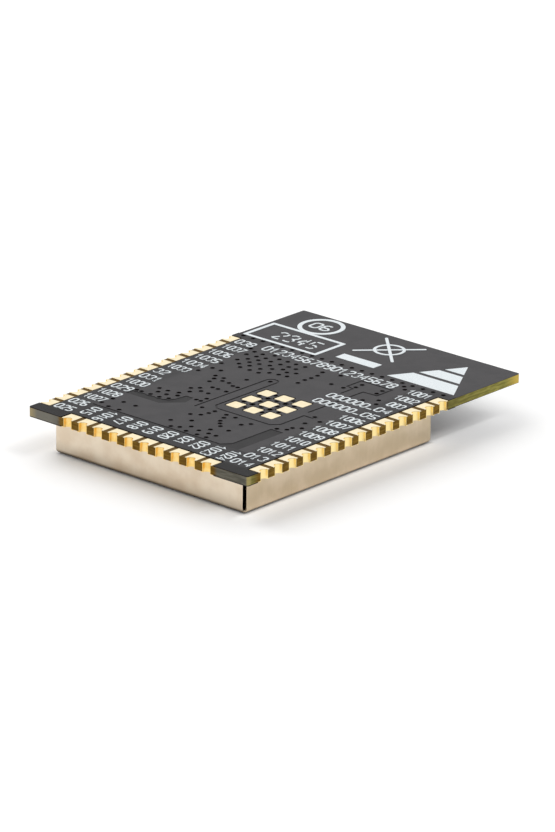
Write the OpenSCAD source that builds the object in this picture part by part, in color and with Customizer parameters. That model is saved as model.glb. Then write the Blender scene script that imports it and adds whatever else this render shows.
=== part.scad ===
// Surface-mount radio module: a small board with plated half-holes on three edges,
// a printed antenna at the fourth, and a folded metal can over the parts.
// The module lies on its can, so z = 0 is the can's flat face and the solder pads look up.
// X runs across the two pad columns, Y from the ten-pad end to the antenna end.

/* [Board] */
// Width of the board, across the two columns of pads
board_w = 18; // [17.8:0.1:18.4]
// Length of the board, from the end row of pads to the antenna
board_l = 25.5; // [25.3:0.1:26.5]
// Thickness of the bare laminate
laminate_t = 0.54; // [0.5:0.01:0.9]
// Thickness of the copper on each side
copper_t = 0.035; // [0.02:0.005:0.07]
// Thickness of the solder mask over the copper
mask_t = 0.02; // [0.01:0.005:0.03]
// Radius of the board's corners
board_corner_r = 0.15; // [0.05:0.05:0.3]
// How far the copper plane reaches from the end row; the antenna has the rest
plane_l = 19.22; // [18.9:0.01:19.25]

/* [Edge pads] */
// Distance from pad to pad
pad_pitch = 1.27; // [1.27:0.01:1.28]
// Pads in each side column
side_pads = 14; // [10:1:14]
// Pads in the end row
end_pads = 10; // [6:1:10]
// From the end row's edge to the first pad of a side column
first_pad = 1.5; // [1.4:0.05:1.7]
// Width of a pad along the edge
pad_w = 0.92; // [0.8:0.02:0.96]
// Length of a side pad, in from the edge
side_pad_l = 0.78; // [0.6:0.02:0.9]
// Length of an end pad, in from the edge
end_pad_l = 0.84; // [0.6:0.02:0.9]
// Radius of the finished half-hole
half_hole_r = 0.295; // [0.2:0.005:0.3]
// Wall of the plating in the half-hole
plating_t = 0.035; // [0.02:0.005:0.05]
// Gap between a pad and the solder mask
mask_gap = 0.1; // [0.05:0.01:0.12]

/* [Thermal pads] */
// Pads along each side of the square group
thermal_n = 3; // [2:1:3]
// Side of one thermal pad
thermal_w = 0.93; // [0.8:0.01:1]
// Distance from pad to pad
thermal_pitch = 1.43; // [1.35:0.01:1.5]
// Centre of the group across the board
thermal_x = 1.44; // [1:0.01:2]
// Centre of the group along the board
thermal_y = -2.35; // [-3:0.01:-2]

/* [Shield can] */
// Outer width of the can
can_w = 15.75; // [15.4:0.05:16]
// Outer length of the can
can_l = 17.4; // [17:0.1:17.6]
// Height from the flat face to the rim
can_h = 2.45; // [2.1:0.05:2.6]
// Thickness of the sheet
sheet_t = 0.2; // [0.15:0.01:0.22]
// Outer radius of the folds
fold_r = 0.28; // [0.25:0.01:0.4]
// How far the flat face stands out past its own edges
lid_rise = 0.06; // [0:0.01:0.1]
// Width of the open slit at each folded corner
corner_slit = 0.24; // [0.1:0.02:0.26]
// From the end row's edge of the board to the can
can_setback = 1.15; // [1.1:0.05:1.4]
// How far the can sits to the left of the board's middle
can_shift = 0.1; // [0:0.05:0.2]

/* [Antenna] */
// Width of the antenna's trace
trace_w = 0.5; // [0.3:0.05:0.6]
// Distance between the legs of the meander
leg_pitch = 1.65; // [1.4:0.05:1.65]
// Legs of the meander
legs = 8; // [4:2:8]

/* [Legend] */
// Width of the printed lines
ink_w = 0.2; // [0.15:0.01:0.28]
// Thickness of the ink
ink_t = 0.015; // [0.01:0.005:0.02]

/* [Hidden] */
$fn = 48;

coat_t = copper_t + mask_t;              // mask where it also covers copper
z_under = can_h;                         // outer face of the mask on the part side
z_lam = z_under + coat_t;                // part-side face of the laminate
z_lam_top = z_lam + laminate_t;          // pad-side face of the laminate
hole_r = half_hole_r + plating_t;        // drilled radius of a half-hole
side_x = board_w / 2;                    // plane of the side edges
end_y = -board_l / 2;                    // plane of the end row's edge
far_y = board_l / 2;                     // plane of the antenna end
plane_y = end_y + plane_l;               // edge of the copper plane
can_y = end_y + can_setback + can_l / 2; // centre of the can
can_x = -can_shift;
side_pad_ys = [for (i = [0 : side_pads - 1]) end_y + first_pad + i * pad_pitch];
end_pad_xs = [for (i = [0 : end_pads - 1]) (i - (end_pads - 1) / 2) * pad_pitch];
cut = 0.5;                               // how far cutters run past a face

gold = [0.96, 0.80, 0.45];
tin = [0.78, 0.78, 0.76];
nickel_silver = [0.80, 0.74, 0.65];

// ---------- flat shapes ----------

// Rectangle with round corners, centred
module round_rect(w, l, r) {
    square([w - 2 * r, l], center = true);
    square([w, l - 2 * r], center = true);
    for (x = [-1, 1], y = [-1, 1])
        translate([x * (w / 2 - r), y * (l / 2 - r)]) circle(r);
}

// Straight line of ink or of bare gap from a to b, with round ends
module line(a, b, w) {
    d = b - a;
    translate(a) rotate(atan2(d[1], d[0]))
        translate([0, -w / 2]) square([norm(d), w]);
    for (p = [a, b]) translate(p) circle(w / 2);
}

// Line through a row of points
module path(points, w) {
    for (i = [0 : len(points) - 2]) line(points[i], points[i + 1], w);
}

module board_outline() {
    round_rect(board_w, board_l, board_corner_r);
}

// Every half-hole, as a full circle on the board's edge
module half_holes(r) {
    for (side = [-1, 1], y = side_pad_ys) translate([side * side_x, y]) circle(r);
    for (x = end_pad_xs) translate([x, end_y]) circle(r);
}

// Strips along the three edges where the mask stays clear of the pads
module pad_windows() {
    side_l = (side_pads - 1) * pad_pitch + pad_w + 2 * mask_gap;
    for (side = [-1, 1])
        translate([side * (side_x - (side_pad_l + mask_gap - cut) / 2),
                   (side_pad_ys[0] + side_pad_ys[side_pads - 1]) / 2])
            square([side_pad_l + mask_gap + cut, side_l], center = true);
    translate([0, end_y + (end_pad_l + mask_gap - cut) / 2])
        square([(end_pads - 1) * pad_pitch + pad_w + 2 * mask_gap,
                end_pad_l + mask_gap + cut], center = true);
}

// The thermal pads, or with a margin the windows round them
module thermal_squares(margin) {
    for (i = [0 : thermal_n - 1], j = [0 : thermal_n - 1])
        translate([thermal_x + (i - (thermal_n - 1) / 2) * thermal_pitch,
                   thermal_y + (j - (thermal_n - 1) / 2) * thermal_pitch])
            round_rect(thermal_w + 2 * margin, thermal_w + 2 * margin, 0.1);
}

// Half of the board on the antenna's side of the line y, or on the other
module beyond(y) { translate([-board_w, y]) square([2 * board_w, board_l]); }
module before(y) { translate([-board_w, y - 2 * board_l]) square([2 * board_w, 2 * board_l]); }

// ---------- board ----------

module board_laminate() {
    color("darkolivegreen") translate([0, 0, z_lam]) linear_extrude(laminate_t)
        difference() {
            board_outline();
            half_holes(hole_r);
        }
}

// Gaps in the copper plane, which show through the mask as shallow grooves
module plane_gaps(w) {
    // Supply trace: a slot with a round end, whose foot turns under the thermal pads
    path([[-1.65, -5.7], [-1.65, 0.85]], w);
    path([[-0.8, 0.85], [-0.8, -4.7], [-0.4, -5.1], [3.95, -5.1], [4.4, -4.6], [4.4, -2.45],
          [5.1, -2.45]], w);
    translate([-1.225, 0.85]) intersection() {
        difference() {
            circle(0.425 + w / 2);
            circle(0.425 - w / 2);
        }
        translate([-1, 0]) square([2, 1]);
    }
    // Supply feed at the antenna end: a box on a narrower neck
    path([[3.35, 2.2], [3.35, 3.3], [2.78, 3.45], [2.78, 4.8], [5.28, 4.8], [5.28, 3.35],
          [4.2, 3.3], [4.2, -1.8]], w);
    // Lower edge of the ground fill
    path([[-6.4, -9.7], [3.9, -9.7]], w);
}

// Wide bare strips beside the fills, without copper under the mask
module bare_strips() {
    polygon([[-6.4, -6.82], [-3.65, -6.82], [-2.5, -5.65], [-2.7, -4.7], [-3.3, -4.7],
             [-3.4, -5.6], [-3.95, -6.15], [-6.4, -6.15]]);
    polygon([[3.9, -9.76], [4.5, -9.1], [4.5, -5.6], [5.5, -5.6], [5.5, -9.76]]);
}

module solder_mask_pad_side() {
    groove_d = 0.03;
    strip_d = 0.025;
    color("dimgray") translate([0, 0, z_lam_top]) {
        difference() {
            linear_extrude(coat_t) intersection() {
                difference() {
                    board_outline();
                    pad_windows();
                    thermal_squares(mask_gap * 0.7);
                }
                before(plane_y);
            }
            translate([0, 0, coat_t - groove_d]) linear_extrude(cut) plane_gaps(0.13);
            translate([0, 0, coat_t - strip_d]) linear_extrude(cut) bare_strips();
        }
        linear_extrude(mask_t) intersection() {
            board_outline();
            beyond(plane_y);
        }
    }
}

module solder_mask_part_side() {
    trace_cover = 2 * mask_t;
    color("dimgray") difference() {
        union() {
            translate([0, 0, z_under]) linear_extrude(coat_t) intersection() {
                board_outline();
                before(plane_y);
            }
            translate([0, 0, z_lam - mask_t]) linear_extrude(mask_t) intersection() {
                board_outline();
                beyond(plane_y);
            }
            translate([0, 0, z_under]) linear_extrude(coat_t) antenna_path(trace_w + trace_cover);
        }
        translate([0, 0, z_under - cut]) linear_extrude(cut + coat_t + 0.001) {
            pad_windows();
            rim_ring(0.1);
        }
        translate([0, 0, z_lam - copper_t]) linear_extrude(copper_t + cut)
            antenna_path(trace_w);
    }
}

// ---------- plated half-holes ----------

// One pad, with its hole's centre at the origin and the board towards -X
module edge_pad(pad_l) {
    z_low = z_lam - copper_t;
    z_high = z_lam_top + copper_t;
    difference() {
        union() {
            for (z = [z_low, z_lam_top])
                translate([-pad_l, -pad_w / 2, z]) cube([pad_l, pad_w, copper_t]);
            intersection() {
                translate([0, 0, z_low]) cylinder(r = hole_r, h = z_high - z_low);
                translate([-2 * hole_r, -2 * hole_r, z_low])
                    cube([2 * hole_r, 4 * hole_r, z_high - z_low]);
            }
        }
        translate([0, 0, z_low - cut]) cylinder(r = half_hole_r, h = z_high - z_low + 2 * cut);
    }
}

module right_edge_pads() {
    color(gold) for (y = side_pad_ys) translate([side_x, y, 0]) edge_pad(side_pad_l);
}

module left_edge_pads() {
    color(gold) for (y = side_pad_ys)
        translate([-side_x, y, 0]) rotate(180) edge_pad(side_pad_l);
}

module end_edge_pads() {
    color(gold) for (x = end_pad_xs)
        translate([x, end_y, 0]) rotate(-90) edge_pad(end_pad_l);
}

module thermal_pads() {
    color(gold) translate([0, 0, z_lam_top]) linear_extrude(copper_t) thermal_squares(0);
}

// ---------- shield can ----------

// Section of a folded side: wall on +X, fold at the foot
module fold_section() {
    intersection() {
        translate([0, fold_r]) difference() {
            circle(fold_r);
            circle(fold_r - sheet_t);
        }
        square([fold_r, fold_r]);
    }
    translate([fold_r - sheet_t, fold_r]) square([sheet_t, can_h - lid_rise - fold_r]);
}

// Section of the flat face across one direction: its edges stand back from the middle
module lid_section(w) {
    slope_w = 0.6;
    polygon([[-w / 2, lid_rise], [slope_w - w / 2, 0], [w / 2 - slope_w, 0], [w / 2, lid_rise],
             [w / 2, lid_rise + sheet_t], [-w / 2, lid_rise + sheet_t]]);
}

module shield_can() {
    flat_w = can_w - 2 * fold_r;
    flat_l = can_l - 2 * fold_r;
    color(nickel_silver) translate([can_x, can_y, 0]) difference() {
        union() {
            intersection() {
                translate([0, flat_l / 2, 0]) rotate([90, 0, 0])
                    linear_extrude(flat_l) lid_section(flat_w);
                translate([-flat_w / 2, 0, 0]) rotate([90, 0, 90])
                    linear_extrude(flat_w) lid_section(flat_l);
            }
            translate([0, 0, lid_rise]) {
                for (side = [0, 1]) rotate(180 * side) {
                    translate([flat_w / 2, flat_l / 2, 0]) rotate([90, 0, 0])
                        linear_extrude(flat_l) fold_section();
                    translate([-flat_w / 2, flat_l / 2, 0]) rotate([90, 0, 90])
                        linear_extrude(flat_w) fold_section();
                }
                for (x = [0, 1], y = [0, 1]) mirror([x, 0, 0]) mirror([0, y, 0])
                    translate([flat_w / 2, flat_l / 2, 0])
                        rotate_extrude(angle = 90) fold_section();
            }
        }
        // The four sides are folded up one by one, so a slit stays open at each corner
        for (x = [0, 1], y = [0, 1]) mirror([x, 0, 0]) mirror([0, y, 0])
            translate([flat_w / 2, flat_l / 2, 0]) rotate(45)
                translate([0, -corner_slit / 2, lid_rise + sheet_t]) cube([1, corner_slit, can_h]);
    }
}

// The can's rim as a flat ring, wider by the margin on both sides
module rim_ring(margin) {
    translate([can_x, can_y]) difference() {
        square([can_w + 2 * margin, can_l + 2 * margin], center = true);
        square([can_w - 2 * (sheet_t + margin), can_l - 2 * (sheet_t + margin)], center = true);
    }
}

module shield_solder_seam() {
    color(tin) translate([0, 0, z_under]) linear_extrude(mask_t) rim_ring(0.1);
}

module shield_ground_land() {
    color(gold) translate([0, 0, z_lam - copper_t]) linear_extrude(copper_t) rim_ring(0.1);
}

// ---------- antenna, on the part side of the overhang ----------

// Feed and ground legs on the right, then a meander towards the left edge
module antenna_path(w) {
    top_y = far_y - 0.75;
    low_y = plane_y + 2.2;
    feed_x = side_x - 1.2;
    ground_x = feed_x - 2;
    first_x = ground_x - 1.9;
    module bar(x0, x1, y) {
        translate([x0 - w / 2, y - w / 2]) square([x1 - x0 + w, w]);
    }
    module leg(x, y0, y1) {
        translate([x - w / 2, y0 - w / 2]) square([w, y1 - y0 + w]);
    }
    leg(feed_x, plane_y + 0.3, top_y);
    leg(ground_x, plane_y + 0.3, top_y);
    bar(first_x, feed_x, top_y);
    for (i = [0 : legs - 1]) leg(first_x - i * leg_pitch, low_y, top_y);
    for (i = [0 : legs - 2])
        bar(first_x - (i + 1) * leg_pitch, first_x - i * leg_pitch, i % 2 == 0 ? low_y : top_y);
}

module antenna_trace() {
    color(gold) translate([0, 0, z_lam - copper_t]) linear_extrude(copper_t)
        antenna_path(trace_w);
}

// ---------- printed legend over the antenna ----------

// Ring round a plain number
module legend_ring() {
    r = 1.55;
    translate([-5.95, 11.0]) difference() {
        circle(r);
        circle(r - ink_w - 0.1);
    }
}

module legend_frame() {
    w = 6.15;
    h = 3.03;
    side = ink_w + 0.06;
    translate([w / 2 - 8.72, plane_y + 0.04 + h / 2]) difference() {
        round_rect(w, h, 0.12);
        square([w - 2 * side, h - 2 * side], center = true);
    }
}

// Registration target: a circle with two long lines that cross in its middle, over a solid bar
module legend_target() {
    r = 0.95;
    reach = 1.6;
    translate([0.15, 10.55]) {
        difference() {
            circle(r + ink_w / 2);
            circle(r - ink_w / 2);
        }
        line([-reach, reach], [reach, -reach], ink_w);
        line([-reach, -reach], [reach, reach], ink_w);
    }
    translate([-1.45, 7.2]) square([3.13, 0.85]);
}

// Solid arrowhead, cut in three by two straight bare bands side by side
module legend_arrowhead() {
    foot_y = 6.76;
    top = [5.9, 11.4];
    left = [3.2, foot_y];
    right = [8.6, foot_y];
    band = 0.35;
    difference() {
        polygon([left, right, top]);
        for (share = [0.36, 0.68])
            line(left + share * (top - left) - [0.4, 0], right + share * (top - right) + [0.4, 0], band);
    }
}

module legend_ink() {
    color("white") translate([0, 0, z_lam_top + mask_t]) linear_extrude(ink_t) {
        legend_ring();
        legend_frame();
        legend_target();
        legend_arrowhead();
    }
}

// ---------- parts under the can ----------

// A part that hangs from the board's part side: h is its height off the board
module hang(x, y, turn, h) {
    translate([x, y, z_under - h]) rotate(turn) children();
}

radio_x = 1.44;
radio_y = -2.35;
radio_w = 5;
radio_h = 0.85;
terminal_t = 0.05;

module radio_chip() {
    color("black") hang(radio_x, radio_y, 0, radio_h)
        linear_extrude(radio_h - terminal_t) round_rect(radio_w, radio_w, 0.1);
}

// Twelve terminals on each side and the slug in the middle
module radio_chip_terminals() {
    n = 12;
    pitch = 0.35;
    color(tin) hang(radio_x, radio_y, 0, terminal_t) {
        for (side = [0 : 3], i = [0 : n - 1])
            rotate(90 * side) translate([radio_w / 2 - 0.4, (i - (n - 1) / 2) * pitch - 0.09, 0])
                cube([0.4, 0.18, terminal_t]);
        translate([-1.85, -1.85, 0]) cube([3.7, 3.7, terminal_t]);
    }
}

memory_x = 1.6;
memory_y = -8.05;
memory_w = 3.9;
memory_l = 4.9;
memory_h = 1.5;
lead_stand = 0.12;

module memory_chip() {
    color("black") hang(memory_x, memory_y, 90, memory_h)
        linear_extrude(memory_h - lead_stand) round_rect(memory_w, memory_l, 0.08);
}

// Four gull-wing leads on each long side
module memory_chip_leads() {
    t = 0.2;
    foot_x = memory_w / 2 + 1.0;
    knee_z = memory_h * 0.55;
    color(tin) hang(memory_x, memory_y, 90, memory_h)
        for (side = [0, 1], i = [-1.5 : 1 : 1.5]) rotate(180 * side)
            translate([0, i * 1.27 + 0.2, 0]) rotate([90, 0, 0]) linear_extrude(0.4)
                polygon([[memory_w / 2, knee_z - t], [memory_w / 2 + 0.45, knee_z - t],
                         [memory_w / 2 + 0.7, memory_h - t], [foot_x, memory_h - t],
                         [foot_x, memory_h], [memory_w / 2 + 0.5, memory_h],
                         [memory_w / 2 + 0.28, knee_z], [memory_w / 2, knee_z]]);
}

crystal_x = -5.2;
crystal_y = -3.0;
crystal_h = 0.75;
crystal_lid_t = 0.1;

module crystal_case() {
    color("tan") hang(crystal_x, crystal_y, 90, crystal_h - crystal_lid_t)
        linear_extrude(crystal_h - crystal_lid_t) round_rect(3.2, 2.5, 0.2);
}

module crystal_lid() {
    color("silver") hang(crystal_x, crystal_y, 90, crystal_h)
        linear_extrude(crystal_lid_t) round_rect(2.8, 2.1, 0.25);
}

// Two-ended parts: [x, y, turn]
capacitors = [
    [-2.6, -0.9, 90], [-2.6, -2.3, 90], [-2.6, -3.7, 90], [-0.4, 1.4, 0], [1.2, 1.4, 0],
    [2.8, 1.4, 0], [5.4, -1.0, 90], [5.4, -2.4, 90], [5.4, -3.8, 90], [-5.2, -0.5, 0],
    [-5.2, -5.5, 0], [-4.0, 2.6, 90], [5.9, -8.6, 90], [-2.6, -7.4, 90]
];
resistors = [[-2.6, -9.2, 90], [6.6, 1.0, 90], [6.6, 2.6, 90], [-6.4, 2.6, 90], [0.4, 2.7, 0]];
inductors = [[3.6, 3.2, 0], [5.3, 3.2, 0], [-1.6, 3.6, 90]];
small_part = [1.0, 0.5];

// Body of a two-ended part: the middle of its length, h high
module part_body(places, h, end_l) {
    for (p = places) hang(p[0], p[1], p[2], h)
        translate([end_l - small_part[0] / 2, -small_part[1] / 2, 0])
            cube([small_part[0] - 2 * end_l, small_part[1], h]);
}

// Its two metal ends
module part_ends(places, h, end_l) {
    for (p = places, x = [-small_part[0] / 2, small_part[0] / 2 - end_l])
        hang(p[0], p[1], p[2], h)
            translate([x, -small_part[1] / 2, 0]) cube([end_l, small_part[1], h]);
}

module capacitor_bodies() { color("peru") part_body(capacitors, 0.5, 0.25); }
module capacitor_ends() { color(tin) part_ends(capacitors, 0.5, 0.25); }
module resistor_bodies() { color("black") part_body(resistors, 0.35, 0.2); }
module resistor_ends() { color(tin) part_ends(resistors, 0.35, 0.2); }
module inductor_bodies() { color("lightsteelblue") part_body(inductors, 0.5, 0.22); }
module inductor_ends() { color(tin) part_ends(inductors, 0.5, 0.22); }

board_laminate();
solder_mask_pad_side();
solder_mask_part_side();
left_edge_pads();
right_edge_pads();
end_edge_pads();
thermal_pads();
shield_can();
shield_solder_seam();
shield_ground_land();
antenna_trace();
legend_ink();
radio_chip();
radio_chip_terminals();
memory_chip();
memory_chip_leads();
crystal_case();
crystal_lid();
capacitor_bodies();
capacitor_ends();
resistor_bodies();
resistor_ends();
inductor_bodies();
inductor_ends();
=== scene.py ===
"""Looks of a surface-mount radio module that lies upside down on its metal can, solder pads up.

The board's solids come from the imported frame. This script gives each its finish, and adds what
is printed on the solder mask or stands in it: the tented vias, the pad numbers and the digits.
Places on the board are millimetres from its left front corner, as on the board's own drawing.
"""

import math

import bmesh
import bpy
from mathutils import Matrix, Vector


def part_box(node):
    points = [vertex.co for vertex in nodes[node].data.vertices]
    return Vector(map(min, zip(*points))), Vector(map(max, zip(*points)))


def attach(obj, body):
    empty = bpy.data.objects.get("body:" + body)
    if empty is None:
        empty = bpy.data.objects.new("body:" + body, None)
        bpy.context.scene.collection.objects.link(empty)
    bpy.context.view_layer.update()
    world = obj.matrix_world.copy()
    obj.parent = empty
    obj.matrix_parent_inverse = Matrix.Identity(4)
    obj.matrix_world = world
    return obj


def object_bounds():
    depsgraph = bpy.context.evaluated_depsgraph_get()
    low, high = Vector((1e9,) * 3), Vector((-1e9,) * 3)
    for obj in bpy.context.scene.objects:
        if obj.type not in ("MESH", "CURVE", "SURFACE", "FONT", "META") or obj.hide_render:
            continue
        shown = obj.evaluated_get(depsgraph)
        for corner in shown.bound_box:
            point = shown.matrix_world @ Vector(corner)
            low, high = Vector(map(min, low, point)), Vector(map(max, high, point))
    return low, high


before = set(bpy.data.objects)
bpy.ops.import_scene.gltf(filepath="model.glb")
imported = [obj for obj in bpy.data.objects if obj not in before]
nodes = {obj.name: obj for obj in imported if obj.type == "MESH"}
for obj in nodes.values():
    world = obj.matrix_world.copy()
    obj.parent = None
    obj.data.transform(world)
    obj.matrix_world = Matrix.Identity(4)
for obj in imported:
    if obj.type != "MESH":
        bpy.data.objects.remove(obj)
cad_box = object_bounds()
MM = 0.001

# ---------------------------------------------------------------------------------------
# Camera: a long lens that looks at the front right corner from a little above the board. It is
# rolled by two thirds of a degree, as a camera that was levelled by hand.

CAMERA_AZIMUTH = math.radians(41.38)
CAMERA_ELEVATION = math.radians(19.77)
CAMERA_ROLL = math.radians(0.67)
CAMERA_DISTANCE = 326.8 * MM
CAMERA_AIM = Vector((0.263, -0.211, 1.473)) * MM
CAMERA_LENS = 228.4
CAMERA_CLIP_START = 10 * MM

toward_camera = Vector((
    math.sin(CAMERA_AZIMUTH) * math.cos(CAMERA_ELEVATION),
    -math.cos(CAMERA_AZIMUTH) * math.cos(CAMERA_ELEVATION),
    math.sin(CAMERA_ELEVATION),
))
camera = bpy.data.objects.new("camera", bpy.data.cameras.new("camera"))
bpy.context.scene.collection.objects.link(camera)
camera.data.lens = CAMERA_LENS
camera.data.clip_start = CAMERA_CLIP_START
camera.matrix_world = (
    Matrix.Translation(CAMERA_AIM + toward_camera * CAMERA_DISTANCE)
    @ toward_camera.to_track_quat("Z", "Y").to_matrix().to_4x4()
    @ Matrix.Rotation(CAMERA_ROLL, 4, "Z")
)
bpy.context.scene.camera = camera


# ---------------------------------------------------------------------------------------
# Board laminate: glass cloth and resin, pressed in plies. The side edges are routed and the two ends
# sheared off the panel. The sides are painted brighter olive, as painted light, and the ends greyer, as
# painted shade.

class Value:
    """One output in a shader tree. Sums of values add their Math nodes."""

    def __init__(self, finish, socket):
        self.finish = finish
        self.socket = socket

    def math(self, operation, *others, swapped=False):
        """A Math node on this value and the others, in reverse order if swapped."""
        terms = [self, *others]
        if swapped:
            terms.reverse()
        return self.finish.node("ShaderNodeMath", {"operation": operation}, dict(enumerate(terms)))

    def __add__(self, other):
        return self.math("ADD", other)

    def __mul__(self, other):
        return self.math("MULTIPLY", other)

    def __sub__(self, other):
        return self.math("SUBTRACT", other)

    def __rsub__(self, other):
        return self.math("SUBTRACT", other, swapped=True)

    __radd__ = __add__
    __rmul__ = __mul__

    def step(self, low, high):
        """0 below low, 1 above high, and smooth between."""
        inputs = {"Value": self, "From Min": low, "From Max": high}
        return self.finish.node("ShaderNodeMapRange", {"interpolation_type": "SMOOTHSTEP"}, inputs)

    def span(self, start, full, fading, end):
        """0 before start, 1 from full to fading, 0 after end, and smooth between."""
        return self.step(start, full) * (1 - self.step(fading, end))


class Finish:
    """A material under construction: its main shader, and the nodes that feed it."""

    def __init__(self, name, **plain):
        self.material = bpy.data.materials.new(name)
        self.material.use_nodes = True
        self.tree = self.material.node_tree
        self.shader = self.tree.nodes["Principled BSDF"]
        for socket, value in plain.items():
            self.feed(socket.replace("_", " "), value)
        coordinates = self.node("ShaderNodeTexCoord", output="Object")
        self.mm = self.node("ShaderNodeVectorMath", {"operation": "SCALE"},
                            {"Vector": coordinates, "Scale": 1 / MM})

    def connect(self, value, socket):
        """Links a Value to the socket, or sets a plain number or colour on it."""
        if isinstance(value, Value):
            self.tree.links.new(value.socket, socket)
        else:
            socket.default_value = value

    def feed(self, socket, value):
        """Connects a value to the main shader's socket of that name."""
        if isinstance(value, tuple) and len(value) == 3:
            value = (*value, 1.0)
        self.connect(value, self.shader.inputs[socket])

    def node(self, kind, settings=None, inputs=None, output=0):
        """Adds a node: its settings come first, then the values or links of its sockets."""
        made = self.tree.nodes.new(kind)
        for name, value in (settings or {}).items():
            setattr(made, name, value)
        for key, value in (inputs or {}).items():
            self.connect(value, made.inputs[key])
        return Value(self, made.outputs[output])

    def axis(self, name):
        """The place along X, Y or Z, in millimetres from the module's origin."""
        return self.node("ShaderNodeSeparateXYZ", inputs={0: self.mm}, output=name)

    def stretched(self, scale):
        """The place on the piece, scaled by a factor for each axis."""
        return self.node("ShaderNodeMapping", inputs={"Vector": self.mm, "Scale": scale})

    def noise(self, scale, detail=3.0, place=None):
        """Cloudy values from 0 to 1, with scale patches to the millimetre."""
        inputs = {"Vector": place or self.mm, "Scale": scale, "Detail": detail}
        return self.node("ShaderNodeTexNoise", inputs=inputs)

    def mix(self, share, first, second):
        """Colour first where share is 0, and second where it is 1."""
        made = self.tree.nodes.new("ShaderNodeMix")
        made.data_type = "RGBA"
        self.connect(share, made.inputs["Factor"])
        sockets = [socket for socket in made.inputs if socket.type == "RGBA"]
        for colour, socket in zip((first, second), sockets):
            self.connect((*colour, 1.0) if isinstance(colour, tuple) else colour, socket)
        return Value(self, next(socket for socket in made.outputs if socket.type == "RGBA"))

    def bump(self, height, depth_mm):
        """Raises the surface by up to depth_mm where height is 1."""
        inputs = {"Height": height, "Strength": 1.0, "Distance": depth_mm * MM}
        self.feed("Normal", self.node("ShaderNodeBump", inputs=inputs))


def dress(node, finish):
    """Gives one of the frame's solids its finish."""
    for slot in nodes[node].material_slots:
        slot.material = finish.material


board_low, board_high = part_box("board_laminate")
BOARD_SIDE = board_high.x / MM
BOARD_END = board_high.y / MM
BOARD_TOP = board_high.z / MM
SIDE_PADS_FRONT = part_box("right_edge_pads")[0].y / MM
SIDE_PADS_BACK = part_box("right_edge_pads")[1].y / MM
END_PADS_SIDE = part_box("end_edge_pads")[1].x / MM

# Painted light and shade: the sides' resin is a lit copy and the ends' a shaded copy, with painted shade
# over the can and a painted highlight on the ends' left
# Each pair of colours is the darker and the paler ply
LIT_SIDE_RESIN = ((0.21, 0.19, 0.045), (0.36, 0.33, 0.085))
SIDE_RESIN_IN_PAINTED_SHADE = (0.10, 0.085, 0.030)
SHADED_END_RESIN = ((0.10, 0.095, 0.075), (0.155, 0.145, 0.115))
END_RESIN_PAINTED_LIT_ON_THE_LEFT = (0.19, 0.18, 0.15)
# Painted reflection of the gold and painted shade, on the resin between the half-holes
GOLD_REFLECTION_RESIN = ((0.150, 0.082, 0.011), (0.26, 0.150, 0.023))
GOLD_REFLECTION_RESIN_SHADED_ON_THE_END = (0.10, 0.045, 0.004)
# Painted highlights on the board's corners
FRONT_CORNER_HIGHLIGHT = (0.48, 0.39, 0.16)
LEFT_CORNER_HIGHLIGHT = (0.46, 0.36, 0.17)
ANTENNA_CORNER_HIGHLIGHT = (0.68, 0.49, 0.10)
# Painted shade in the bare strips, with a painted reflection of the gold between the lands
SHADED_BARE_STRIP = (0.070, 0.040, 0.016)
SHADED_BARE_STRIP_WITH_GOLD_REFLECTION = (0.155, 0.090, 0.022)

laminate = Finish("laminate", Roughness=0.62, Specular_IOR_Level=0.05)
across = laminate.axis("X")
along = laminate.axis("Y")
from_middle = across.math("ABSOLUTE")
plies = laminate.noise(1.0, 2.0, laminate.stretched((1.2, 1.2, 9.0))).step(0.35, 0.7)
fibres = laminate.noise(1.0, 2.0, laminate.stretched((14.0, 14.0, 3.0)))

# The routed sides are painted brighter olive, as painted light, with painted shade over the length
# of the can. The sheared ends are painted greyer, as painted shade, with a painted highlight on the left.
lit_sides = laminate.mix(plies, *LIT_SIDE_RESIN)
lit_sides = laminate.mix((1 - along.step(6.0, 10.0)) * 0.4, lit_sides, SIDE_RESIN_IN_PAINTED_SHADE)
shaded_ends = laminate.mix(plies, *SHADED_END_RESIN)
shaded_ends = laminate.mix(1 - across.step(-7.2, -6.0), shaded_ends, END_RESIN_PAINTED_LIT_ON_THE_LEFT)
on_the_end = along.math("ABSOLUTE").step(BOARD_END - 0.05, BOARD_END - 0.01)
edge_resin = laminate.mix(on_the_end, lit_sides, shaded_ends)

# Beside the half-holes the resin is painted brown, as painted reflection of the gold barrels and painted
# shade, darker on the ends
gold_reflected = laminate.mix(plies, *GOLD_REFLECTION_RESIN)
gold_reflected = laminate.mix(on_the_end * 0.35, gold_reflected, GOLD_REFLECTION_RESIN_SHADED_ON_THE_END)
beside_side_pads = along.span(SIDE_PADS_FRONT - 0.64, SIDE_PADS_FRONT + 0.01,
                              SIDE_PADS_BACK - 0.12, SIDE_PADS_BACK + 0.18)
beside_end_pads = 1 - from_middle.step(END_PADS_SIDE + 0.075, END_PADS_SIDE + 0.475)
beside_end_pads = beside_end_pads * (1 - along.step(0.0, 1.0))
beside_holes = laminate.mix(on_the_end, beside_side_pads, beside_end_pads)
edge_resin = laminate.mix(beside_holes, edge_resin, gold_reflected)

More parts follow.
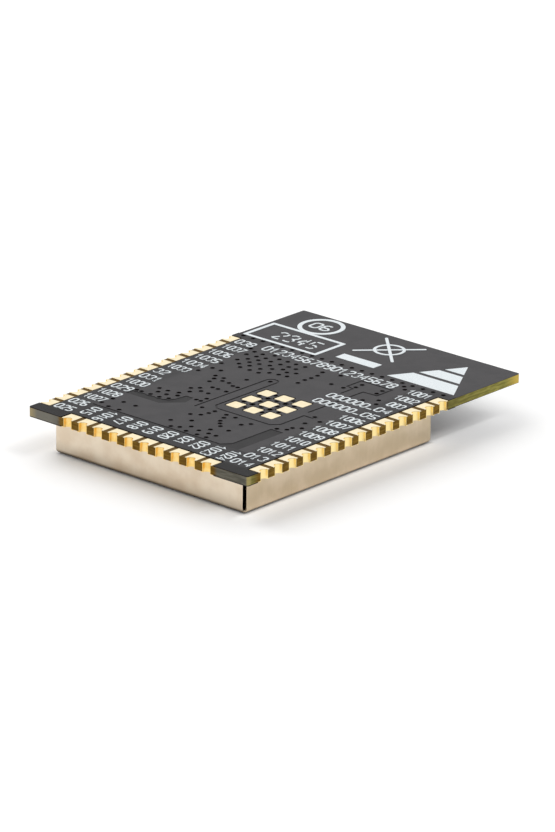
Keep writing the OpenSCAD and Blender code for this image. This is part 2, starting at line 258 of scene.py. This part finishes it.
# The corners are painted pale, as painted highlights where they catch the light
front_corner = from_middle.step(BOARD_SIDE - 0.16, BOARD_SIDE - 0.02)
front_corner = front_corner * (1 - along.step(0.15 - BOARD_END, 0.45 - BOARD_END))
edge_resin = laminate.mix(front_corner * 0.7, edge_resin, FRONT_CORNER_HIGHLIGHT)
antenna_corner = along.step(BOARD_END - 1.55, BOARD_END) * across.step(BOARD_SIDE - 1.4, BOARD_SIDE - 0.1)
edge_resin = laminate.mix(antenna_corner, edge_resin, ANTENNA_CORNER_HIGHLIGHT)
left_corner = 1 - across.step(0.15 - BOARD_SIDE, 0.8 - BOARD_SIDE)
edge_resin = laminate.mix(left_corner * 0.6, edge_resin, LEFT_CORNER_HIGHLIGHT)

# The bare strips round the pads are painted dark, as painted shade, and browner between the lands, where
# a painted reflection of the gold is added
between_lands = from_middle.step(BOARD_SIDE - 1.0, BOARD_SIDE - 0.7)
between_lands = between_lands.math("MAXIMUM", 1 - along.step(0.65 - BOARD_END, 0.95 - BOARD_END))
bare_strips = laminate.mix(between_lands, SHADED_BARE_STRIP, SHADED_BARE_STRIP_WITH_GOLD_REFLECTION)
on_top = laminate.axis("Z").step(BOARD_TOP - 0.010, BOARD_TOP - 0.002)
laminate.feed("Base Color", laminate.mix(on_top, edge_resin, bare_strips))
laminate.bump(plies * 0.6 + fibres * 0.4, 0.02)
dress("board_laminate", laminate)


# ---------------------------------------------------------------------------------------
# Solder mask: black lacquer over both faces. Where the copper plane ends under it, it sits a
# little lower and darker, so the gaps round the inner traces show through as shallow bands.

mask_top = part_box("solder_mask_pad_side")[1].z
MASK_TOP = mask_top / MM
# The copper plane ends before the antenna, and a gap crosses it behind the end row's numbers
PLANE_BACK_EDGE = 6.45
PLANE_FRONT_GAP = -9.71

LACQUER = ((0.049, 0.047, 0.050), (0.063, 0.060, 0.063))
LACQUER_OFF_COPPER = (0.023, 0.022, 0.023)
LACQUER_UNDER_NUMBERS = (0.038, 0.037, 0.039)
LACQUER_BEHIND_END_PADS = (0.029, 0.028, 0.030)
LACQUER_AT_FRONT_EDGE = (0.010, 0.009, 0.009)

mask = Finish("solder_mask", Specular_IOR_Level=0.04)
film = mask.noise(0.9, 3.0)
lacquer = mask.mix(film.step(0.3, 0.7), *LACQUER)
board_y = mask.axis("Y")
over_antenna = board_y.step(PLANE_BACK_EDGE - 0.05, PLANE_BACK_EDGE + 0.05)
low_film = mask.mix(over_antenna, LACQUER_OFF_COPPER, lacquer)
front_strip = mask.mix(board_y.step(-11.9, -11.6), LACQUER_AT_FRONT_EDGE, LACQUER_BEHIND_END_PADS)
under_numbers = mask.axis("X").math("ABSOLUTE").step(6.0, 6.6)
high_film = mask.mix(under_numbers, lacquer, LACQUER_UNDER_NUMBERS)
behind_gap = board_y.step(PLANE_FRONT_GAP - 0.05, PLANE_FRONT_GAP + 0.05)
high_film = mask.mix(behind_gap, front_strip, high_film)
over_copper = mask.axis("Z").step(MASK_TOP - 0.022, MASK_TOP - 0.008)
mask.feed("Base Color", mask.mix(over_copper, low_film, high_film))
mask.feed("Roughness", 0.38 + film * 0.10)
mask.bump(mask.noise(9.0, 2.0), 0.003)
dress("solder_mask_pad_side", mask)
dress("solder_mask_part_side", mask)


# ---------------------------------------------------------------------------------------
# Vias: plated holes that the mask has sagged into. Each leaves a low ring of lacquer round a
# hollow, drawn as a flat black disc of painted shade. A row of them stitches the copper plane along the
# antenna's edge.

def on_board(u, v, z):
    """The point u across and v along from the board's left front corner, in millimetres."""
    return Vector((board_low.x + u * MM, board_low.y + v * MM, z))


def finished_piece(name, mesh, finish):
    """A closed mesh in the module's own frame becomes a piece that rides on the module."""
    piece = bpy.data.objects.new(name, mesh)
    bpy.context.scene.collection.objects.link(piece)
    mesh.materials.clear()
    mesh.materials.append(finish.material)
    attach(piece, "root")


def smooth_mesh(bm, name):
    """Turns a bmesh into a smooth-shaded mesh whose faces point outwards."""
    bmesh.ops.recalc_face_normals(bm, faces=bm.faces)
    mesh = bpy.data.meshes.new(name)
    bm.to_mesh(mesh)
    bm.free()
    for face in mesh.polygons:
        face.use_smooth = True
    return mesh


def copies_at(shape, places):
    """One bmesh with a copy of the shape at every place."""
    mesh = smooth_mesh(shape, "pattern")
    together = bmesh.new()
    for place in places:
        start = len(together.verts)
        together.from_mesh(mesh)
        together.verts.ensure_lookup_table()
        bmesh.ops.translate(together, verts=together.verts[start:], vec=place)
    bpy.data.meshes.remove(mesh)
    return together


def ring(profile_mm, steps):
    """A closed section, given as radius and height, turned once round Z."""
    bm = bmesh.new()
    section = [bm.verts.new((r * MM, 0, z * MM)) for r, z in profile_mm]
    edges = [bm.edges.new(pair) for pair in zip(section, section[1:] + section[:1])]
    bmesh.ops.spin(bm, geom=section + edges, cent=(0, 0, 0), axis=(0, 0, 1),
                   angle=math.tau, steps=steps, use_merge=True)
    bmesh.ops.remove_doubles(bm, verts=bm.verts, dist=1e-8)
    return bm


# Vias under the copper plane: distance along the board, then the places across it
VIA_ROWS = {
    18.55: (14.4,),
    18.15: (14.8,),
    17.4: (2.65, 4.7, 10.2),
    17.1: (3.25, 3.95, 5.35, 6.05, 6.75, 7.5, 8.95),
    17.0: (12.3, 13.95),
    16.65: (4.6,),
    16.5: (3.95,),
    16.4: (3.2, 5.25, 6.05, 6.75, 7.35, 9.15, 12.3, 14.0),
    16.05: (4.5,),
    15.8: (3.85, 5.7, 6.8, 7.9, 9.15, 10.8, 11.8),
    15.55: (5.05, 7.35, 14.9),
    15.4: (4.35, 6.25),
    15.25: (3.45, 9.1),
    15.0: (7.85,),
    14.9: (4.8, 5.7, 7.25, 14.15, 15.25),
    14.75: (4.05, 6.6),
    14.55: (9.15,),
    14.3: (4.55, 5.35, 6.1),
    14.05: (3.2,),
    13.55: (7.75,),
    13.0: (3.4, 4.1),
    12.8: (6.45,),
    12.05: (3.05, 4.5, 5.2),
    11.6: (4.8, 5.5, 6.05),
    11.35: (6.6, 7.0),
    11.0: (4.95,),
    10.55: (14.05,),
    10.3: (5.85, 6.3, 7.0),
    10.1: (14.85,),
    9.7: (5.35,),
    9.3: (4.95, 5.8, 6.4, 14.35),
    8.75: (5.35,),
    8.5: (7.0, 14.8),
    8.15: (5.0, 14.35),
    7.95: (3.55, 4.25, 6.65, 7.0),
    7.7: (5.3, 14.3),
    7.4: (3.95, 4.65, 13.75),
    7.15: (7.85, 8.9, 9.85, 10.6),
    6.95: (5.25, 12.05),
    6.75: (2.75, 3.15, 3.9, 4.65),
    6.65: (8.85, 10.1),
    6.45: (11.7,),
    6.1: (8.7, 10.3),
    5.75: (8.15, 10.6),
    5.4: (10.95,),
    5.15: (11.85,),
    4.95: (9.0,),
    4.55: (2.8, 3.7, 4.7, 10.9),
    4.15: (8.0, 9.7),
    3.95: (10.5, 11.3, 11.9),
    3.6: (2.75, 9.25),
    3.35: (3.55, 4.45, 8.75, 10.0, 10.9, 11.65),
}
STITCH_ROW = 19.0
STITCH_START = 0.6
STITCH_PITCH = 0.83
STITCHES = 21
THERMAL_PAD_SIDE = 0.93

via_places = [on_board(u, v, mask_top) for v, row in VIA_ROWS.items() for u in row]
via_places += [on_board(STITCH_START + i * STITCH_PITCH, STITCH_ROW, mask_top) for i in range(STITCHES)]

# The gaps between the thermal pads have vias too, placed in half pitches from the middle pad
thermal_low, thermal_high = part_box("thermal_pads")
thermal_middle = (thermal_low + thermal_high) / 2
half_pitch = (thermal_high.x - thermal_low.x - THERMAL_PAD_SIDE * MM) / 4
for i in (-1, 1):
    for j in (-2, -1, 0, 1, 2):
        for dx, dy in ((i, j), (j, i)):
            if abs(dx) + abs(dy) != 2 or abs(dx) == abs(dy):
                via_places.append(Vector((thermal_middle.x + dx * half_pitch,
                                          thermal_middle.y + dy * half_pitch, mask_top)))

# A rim's section, as radius and height: its outer and inner feet are sunk in the mask
RIM_SECTION = ((0.25, -0.006), (0.225, 0.004), (0.19, 0.007), (0.155, 0.004), (0.14, -0.006))
RIM_STEPS = 14
HOLLOW_RADIUS = 0.16
HOLLOW_TOP_RADIUS = 0.155
HOLLOW_DEPTH = 0.006

via_rims = copies_at(ring(RIM_SECTION, RIM_STEPS), via_places)
finished_piece("via_rims", smooth_mesh(via_rims, "via_rims"), mask)

# A flat black disc of painted shade stands for the shaded hollow of each via
hollow_shade = Finish("via_hollow_shade", Base_Color=(0.004, 0.003, 0.003), Specular_IOR_Level=0.0)
hollow_shade.feed("Roughness", 0.7 + hollow_shade.noise(9.0) * 0.2)
disc = bmesh.new()
bmesh.ops.create_cone(disc, cap_ends=True, segments=12, radius1=HOLLOW_RADIUS * MM,
                      radius2=HOLLOW_TOP_RADIUS * MM, depth=HOLLOW_DEPTH * MM)
finished_piece("via_shade_discs", smooth_mesh(copies_at(disc, via_places), "via_shade_discs"),
               hollow_shade)


# ---------------------------------------------------------------------------------------
# Solder pads: copper with nickel and a thin coat of gold. Each edge pad wraps down through a
# half-round hole that was cut open when the board was routed.

# The one gold plate is painted in three colours for how the light falls: duller on the lands, more orange
# in the barrels and lighter still in the right column's barrels, as painted light and shade
LAND_GOLD = ((0.58, 0.49, 0.30), (0.64, 0.55, 0.36))
BARREL_GOLD = ((0.90, 0.60, 0.18), (0.97, 0.70, 0.28))
RIGHT_BARREL_GOLD_PAINTED_LIGHTER = (0.98, 0.78, 0.36)

gold = Finish("gold_plate", Metallic=1.0)
grain = gold.noise(3.0, 4.0)
land_gold = gold.mix(grain.step(0.35, 0.65), *LAND_GOLD)
barrel_gold = gold.mix(grain.step(0.35, 0.65), *BARREL_GOLD)
on_right_barrels = gold.axis("X").step(BOARD_SIDE - 0.40, BOARD_SIDE - 0.34)
barrel_gold = gold.mix(on_right_barrels, barrel_gold, RIGHT_BARREL_GOLD_PAINTED_LIGHTER)
on_lands = gold.axis("Z").step(BOARD_TOP - 0.015, BOARD_TOP + 0.015)
gold.feed("Base Color", gold.mix(on_lands, barrel_gold, land_gold))
gold.feed("Roughness", 0.24 + grain * 0.12)
gold.bump(grain, 0.004)
for name in ("left_edge_pads", "right_edge_pads", "end_edge_pads", "thermal_pads",
             "shield_ground_land", "antenna_trace"):
    dress(name, gold)

# ---------------------------------------------------------------------------------------
# Shield can: one piece of nickel-silver sheet, its four sides folded up and left open by a
# slit at each corner. Handling and reflow leave faint blotches and rolling marks on it.

can_low, can_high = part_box("shield_can")
CAN_RIGHT = can_high.x / MM

# The right wall's sheet is painted darker and warmer, as painted shade with a painted reflection of the
# shaded floor
# Each pair of colours is the duller and the brighter blotch
FRONT_SHEET = ((0.71, 0.585, 0.44), (0.82, 0.715, 0.57))
SHADED_RIGHT_SHEET = ((0.60, 0.485, 0.325), (0.77, 0.64, 0.48))
# Painted shade at the foot of each wall
FRONT_FOOT_SHADE = (0.08, 0.045, 0.015)
RIGHT_FOOT_SHADE = (0.30, 0.23, 0.14)

can_sheet = Finish("can_sheet", Metallic=1.0)
blotches = can_sheet.noise(0.55, 4.0).step(0.35, 0.68)
rolled = can_sheet.noise(1.0, 3.0, can_sheet.stretched((6.0, 6.0, 0.5)))
front_sheet = can_sheet.mix(blotches, *FRONT_SHEET)
shaded_right_sheet = can_sheet.mix(blotches * 0.6 + rolled * 0.4, *SHADED_RIGHT_SHEET)
# The folds at the foot are painted dark brown, as painted shade: the contact shadow on the floor
# reflected in them. On the front wall the painted shade reaches over half of the wall
above_face = can_sheet.axis("Z")
front_foot_shade = (1 - above_face.step(0.10, 0.36)) * 0.65 + (1 - above_face.step(0.0, 1.2)) * 0.35
front_sheet = can_sheet.mix(front_foot_shade, front_sheet, FRONT_FOOT_SHADE)
right_foot_shade = (1 - above_face.step(0.0, 0.35)) * 0.5
shaded_right_sheet = can_sheet.mix(right_foot_shade, shaded_right_sheet, RIGHT_FOOT_SHADE)
# Painted shade: the right wall takes the darker, warmer sheet
on_right_side = can_sheet.axis("X").step(CAN_RIGHT - 0.225, CAN_RIGHT - 0.055)
can_sheet.feed("Base Color", can_sheet.mix(on_right_side, front_sheet, shaded_right_sheet))
can_sheet.feed("Roughness", 0.26 + rolled * 0.16)
can_sheet.bump(rolled * 0.7 + can_sheet.noise(5.0) * 0.3, 0.006)
dress("shield_can", can_sheet)
dress("crystal_lid", can_sheet)

# The seam, the leads and the parts' ends are tinned
solder = Finish("solder", Metallic=1.0, Base_Color=(0.72, 0.71, 0.69))
solder.feed("Roughness", 0.3 + solder.noise(6.0) * 0.2)
solder.bump(solder.noise(4.0), 0.01)
for name in ("shield_solder_seam", "radio_chip_terminals", "memory_chip_leads",
             "capacitor_ends", "resistor_ends", "inductor_ends"):
    dress(name, solder)

# ---------------------------------------------------------------------------------------
# Legend: white epoxy ink, screened on the mask. The large marks over the antenna are solids
# of the frame. The numbers are drawn as the lines that a plotter's round pen would leave.

INK = ((0.70, 0.76, 0.79), (0.86, 0.91, 0.93))

ink = Finish("white_ink", Roughness=0.5)
speckle = ink.noise(11.0, 3.0)
ink.feed("Base Color", ink.mix(speckle.step(0.3, 0.75), *INK))
ink.bump(speckle, 0.006)
dress("legend_ink", ink)

# Each digit is one line through points of a grid four wide and six high
GRID_WIDTH = 4
GRID_HEIGHT = 6
STROKES = {
    "0": "10 30 41 45 36 16 05 01 10",
    "1": "04 26 20 10 30",
    "2": "05 16 36 45 44 00 40",
    "3": "05 16 36 45 44 33 23 33 42 41 30 10 01",
    "4": "30 36 02 42",
    "5": "46 06 03 33 42 41 30 00",
    "6": "36 16 05 01 10 30 41 42 33 03",
    "7": "06 46 10",
    "8": "13 04 05 16 36 45 44 33 13 02 01 10 30 41 42 33",
    "9": "10 30 41 45 36 16 05 04 13 43",
}
DIGIT_WIDTH = 0.72  # of the pitch from digit to digit
INK_FLATNESS = 0.22


def pen_lines(text, height, pitch):
    """The lines of a number that starts at the origin and runs along +X, in millimetres."""
    across_cell = pitch * DIGIT_WIDTH / GRID_WIDTH
    up_cell = height / GRID_HEIGHT
    lines = []
    for place, digit in enumerate(text):
        cells = [(int(cell[0]), int(cell[1])) for cell in STROKES[digit].split()]
        lines.append([Vector((place * pitch + x * across_cell, y * up_cell, 0)) for x, y in cells])
    return lines


def placed(lines, u, v, turn=0.0):
    """Lines moved so that their start lies u across and v along the board, and turned there."""
    corner = Vector((board_low.x / MM + u, board_low.y / MM + v, 0))
    spin = Matrix.Rotation(math.radians(turn), 3, "Z")
    return [[spin @ point + corner for point in line] for line in lines]


def number(text, start, end, v, height, turn=0.0, pen=0.13):
    """The number's lines, drawn so that its ink reaches from start to end across the board. One
    turned by -90 degrees reaches from start to end along the board instead, down from its top."""
    pitch = (abs(end - start) - pen) / (len(text) - 1 + DIGIT_WIDTH)
    if turn:
        return placed(pen_lines(text, height, pitch), v, start - pen / 2, turn)
    return placed(pen_lines(text, height, pitch), start + pen / 2, v)


def print_ink(name, lines, pen, z):
    """Prints the lines at height z, as one piece of low strokes with round backs."""
    curve = bpy.data.curves.new(name, "CURVE")
    curve.dimensions = "3D"
    curve.bevel_depth = pen / 2
    curve.bevel_resolution = 1
    curve.use_fill_caps = True
    for line in lines:
        spline = curve.splines.new("POLY")
        spline.points.add(len(line) - 1)
        for point, place in zip(spline.points, line):
            point.co = (*place, 1.0)
    drawn = bpy.data.objects.new(name, curve)
    mesh = bpy.data.meshes.new_from_object(drawn)
    bpy.data.objects.remove(drawn)
    mesh.transform(Matrix.Diagonal((MM, MM, MM * INK_FLATNESS, 1.0)))
    mesh.transform(Matrix.Translation((0, 0, z)))
    for face in mesh.polygons:
        face.use_smooth = True
    finished_piece(name, mesh, ink)


PAD_PITCH = 1.27
FIRST_PAD = 1.5
END_ROW_MIDDLE = 9.08
LABEL_HEIGHT = 0.70
LABEL_PEN = 0.14
DIGIT_PITCH = 0.48

# Where each pad's number starts in the right column, and ends in the left one, from the end
# row up. The end row's numbers are turned, and start and end along the board.
RIGHT_STARTS = (15.4, 15.35, 15.2, 15.2, 15.2, 15.2, 15.15, 15.1, 15.1, 15.75, 15.75, 15.7, 15.2, 15.15)
RIGHT_END = 16.95
RIGHT_DROP = 0.28
LEFT_START = 1.0
LEFT_ENDS = (2.45, 2.45, 2.7, 2.75, 2.55, 2.7, 2.65, 2.1, 2.7, 3.0, 2.95, 2.8, 2.8, 2.5)
LEFT_DROP = 0.42
END_SPANS = ((2.75, 1.3), (2.8, 1.0), (2.75, 1.4), (2.75, 1.4), (2.75, 1.4), (2.75, 1.4),
             (2.75, 1.4), (2.75, 1.4), (2.85, 1.0), (2.8, 1.0))
FIRST_END_PAD = len(RIGHT_STARTS) + 1
FIRST_LEFT_PAD = FIRST_END_PAD + len(END_SPANS)

# Two pads in the right column have a longer number, joined to the pad's own by a low dash
LONG_LABELS = (9, 10)
LONG_LABEL = {"text": "000000", "start": 11.9, "end": 15.15}
LOW_DASH_START = 15.25
LOW_DASH_RISE = 0.04
LOW_DASH = [[Vector((0, 0, 0)), Vector((0.4, 0, 0))]]


def pad_number(count, length):
    """The pad's plain number, cut from the front to fit that many millimetres of ink."""
    return str(1000 + count)[-round(length / DIGIT_PITCH):]


labels = []
for i, start in enumerate(RIGHT_STARTS):
    text = pad_number(len(RIGHT_STARTS) - i, RIGHT_END - start)
    v = FIRST_PAD + i * PAD_PITCH - RIGHT_DROP
    labels += number(text, start, RIGHT_END, v, LABEL_HEIGHT)
    if i in LONG_LABELS:
        labels += number(**LONG_LABEL, v=v, height=LABEL_HEIGHT)
        labels += placed(LOW_DASH, LOW_DASH_START, v + LOW_DASH_RISE)
for i, (top, foot) in enumerate(END_SPANS):
    text = pad_number(FIRST_END_PAD + i, top - foot)
    u = END_ROW_MIDDLE + (i - (len(END_SPANS) - 1) / 2) * PAD_PITCH - LABEL_HEIGHT / 2
    labels += number(text, top, foot, u, LABEL_HEIGHT, turn=-90)
for i, end in enumerate(LEFT_ENDS):
    text = pad_number(FIRST_LEFT_PAD + i, end - LEFT_START)
    labels += number(text, LEFT_START, end, FIRST_PAD + i * PAD_PITCH - LEFT_DROP, LABEL_HEIGHT)
print_ink("pad_numbers", labels, LABEL_PEN, mask_top)

title = number("0123456789012345678", start=3.15, end=14.05, v=17.75, height=0.8)
print_ink("title_digits", title, 0.15, mask_top)


def dashed(lines, dash, gap):
    """The same lines with the pen lifted for every gap, as a worn stencil leaves them."""
    pieces = []
    for line in lines:
        drawn, left = [line[0].copy()], dash
        down = True
        for first, second in zip(line, line[1:]):
            walked, whole = 0.0, (second - first).length
            while whole - walked > left:
                walked += left
                point = first.lerp(second, walked / whole)
                if down:
                    pieces.append(drawn + [point])
                drawn = [point]
                down = not down
                left = dash if down else gap
            left -= whole - walked
            drawn.append(second.copy())
        if down and (drawn[-1] - drawn[0]).length > dash / 3:
            pieces.append(drawn)
    return pieces


mask_top_over_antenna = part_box("legend_ink")[0].z
frame_digits = number("2345", start=1.9, end=5.5, v=20.05, height=1.25)
print_ink("frame_digits", dashed(frame_digits, 0.55, 0.22), 0.17, mask_top_over_antenna)
ring_digits = number("06", start=2.25, end=3.85, v=23.3, height=0.9)
print_ink("ring_digits", ring_digits, 0.2, mask_top_over_antenna)

# ---------------------------------------------------------------------------------------
# Parts under the can: chips moulded in black resin, and capacitors, coils and a crystal in fired
# ceramic. They are soldered to the board before the can goes on.

chip_resin = Finish("chip_resin", Base_Color=(0.02, 0.02, 0.021))
chip_resin.feed("Roughness", 0.55 + chip_resin.noise(8.0) * 0.2)
chip_resin.bump(chip_resin.noise(14.0), 0.006)
for name in ("radio_chip", "memory_chip", "resistor_bodies"):
    dress(name, chip_resin)


def ceramic(name, dark, pale):
    """Fired ceramic, cloudy between two colours."""
    finish = Finish(name, Roughness=0.5)
    fired = finish.noise(5.0)
    finish.feed("Base Color", finish.mix(fired, dark, pale))
    finish.bump(fired, 0.008)
    return finish


dress("capacitor_bodies", ceramic("capacitor_ceramic", (0.24, 0.14, 0.07), (0.36, 0.23, 0.12)))
pale_ceramic = ceramic("crystal_ceramic", (0.30, 0.29, 0.26), (0.42, 0.40, 0.36))
dress("crystal_case", pale_ceramic)
dress("inductor_bodies", pale_ceramic)

# ---------------------------------------------------------------------------------------
# Studio: a white paper sweep, which is the floor, in a white room. One square lamp hangs over the
# module's left front corner, and the other stands behind it on the left.

FLOOR_SIZE = 1600 * MM
CAN_LEFT = can_low.x / MM
CAN_FRONT = can_low.y / MM

bpy.ops.mesh.primitive_plane_add(size=FLOOR_SIZE)
floor = bpy.context.object
floor.name = "floor"
floor.location.z = cad_box[0][2]
paper = Finish("paper_sweep", Base_Color=(0.90, 0.90, 0.90), Roughness=1.0, Specular_IOR_Level=0.0)
floor_x = paper.axis("X")
floor_y = paper.axis("Y")


def beyond_box(low, high):
    """How far a point of the floor lies outside the box's plan, in millimetres."""
    past_x = (floor_x - (high[0] + low[0]) / 2 / MM).math("ABSOLUTE") - (high[0] - low[0]) / 2 / MM
    past_y = (floor_y - (high[1] + low[1]) / 2 / MM).math("ABSOLUTE") - (high[1] - low[1]) / 2 / MM
    return past_x.math("MAXIMUM", past_y)


# The paper throws back much of the room's light, as a glow of its own. It glows most right beside
# the can, as painted light from the right wall, with painted shade a little further out, and that fades
# under the antenna.
off_right = floor_x - CAN_RIGHT
painted_light_beside_can = (1 - off_right.step(-0.3, 2.1)) * 0.69 - (1 - off_right.step(2.5, 7.0)) * 0.18
painted_light_beside_can = painted_light_beside_can * (1 - floor_y.step(5.0, 8.0) * 0.5)
beside_can = off_right.step(-0.4, 0.0) * floor_y.span(-13.0, -11.5, 11.5, 13.5)

# Painted shade: the glow is lowered in front of the can, at the left front corner, and under the antenna
painted_shade_in_front = floor_y.span(CAN_FRONT - 3.2, CAN_FRONT + 0.6, CAN_FRONT + 0.2, CAN_FRONT + 1.2)
painted_shade_in_front = painted_shade_in_front * floor_x.span(-9.0, -6.0, 4.5, 6.8)
off_left = CAN_LEFT - floor_x
painted_shade_at_left_corner = off_left.span(0.2, 1.4, 2.0, 3.6) * floor_y.span(-14.0, -12.6, -10.0, -8.0)
painted_shade_under_antenna = (1 - floor_x.math("ABSOLUTE").step(6.3, 7.6)) * floor_y.span(5.0, 5.8, 11.8, 13.0)
painted_shade_under_antenna = painted_shade_under_antenna * (1 - floor_y.step(7.0, 10.5) * 0.5)

glow = 0.42 + beside_can * painted_light_beside_can - painted_shade_in_front * 0.40 - painted_shade_under_antenna * 0.32 - painted_shade_at_left_corner * 0.26
# Painted shade at the can's foot: the glow dies out there
glow = glow * beyond_box(can_low, can_high).step(-0.3, 0.2)
glow = glow + beyond_box(*cad_box).step(6.0, 30.0) * 0.16
light_path = "ShaderNodeLightPath"
seen = paper.node(light_path, output="Is Camera Ray") + paper.node(light_path, output="Is Glossy Ray")
paper.feed("Emission Color", paper.mix(glow, (0.0, 0.0, 0.0), (1.0, 1.0, 1.0)))
paper.feed("Emission Strength", seen * 0.5)
floor.data.materials.append(paper.material)


def softbox(name, place_mm, size_mm, power):
    """A square lamp that looks at the module."""
    lamp = bpy.data.lights.new(name, "AREA")
    lamp.size = size_mm * MM
    lamp.energy = power
    box = bpy.data.objects.new(name, lamp)
    bpy.context.scene.collection.objects.link(box)
    place = Vector(place_mm) * MM
    box.matrix_world = Matrix.Translation(place) @ place.to_track_quat("Z", "Y").to_matrix().to_4x4()


SOFTBOX_SIZE = 350
ROOM_LIGHT = 0.80

softbox("key", (-189, -164, 433), SOFTBOX_SIZE, power=0.42)
softbox("rim", (-284, 327, 250), SOFTBOX_SIZE, power=0.34)

room = bpy.data.worlds.new("studio")
bpy.context.scene.world = room
room.use_nodes = True
background = room.node_tree.nodes["Background"]
background.inputs["Color"].default_value = (1.0, 1.0, 1.0, 1.0)
background.inputs["Strength"].default_value = ROOM_LIGHT

bpy.context.scene.view_settings.view_transform = "Standard"
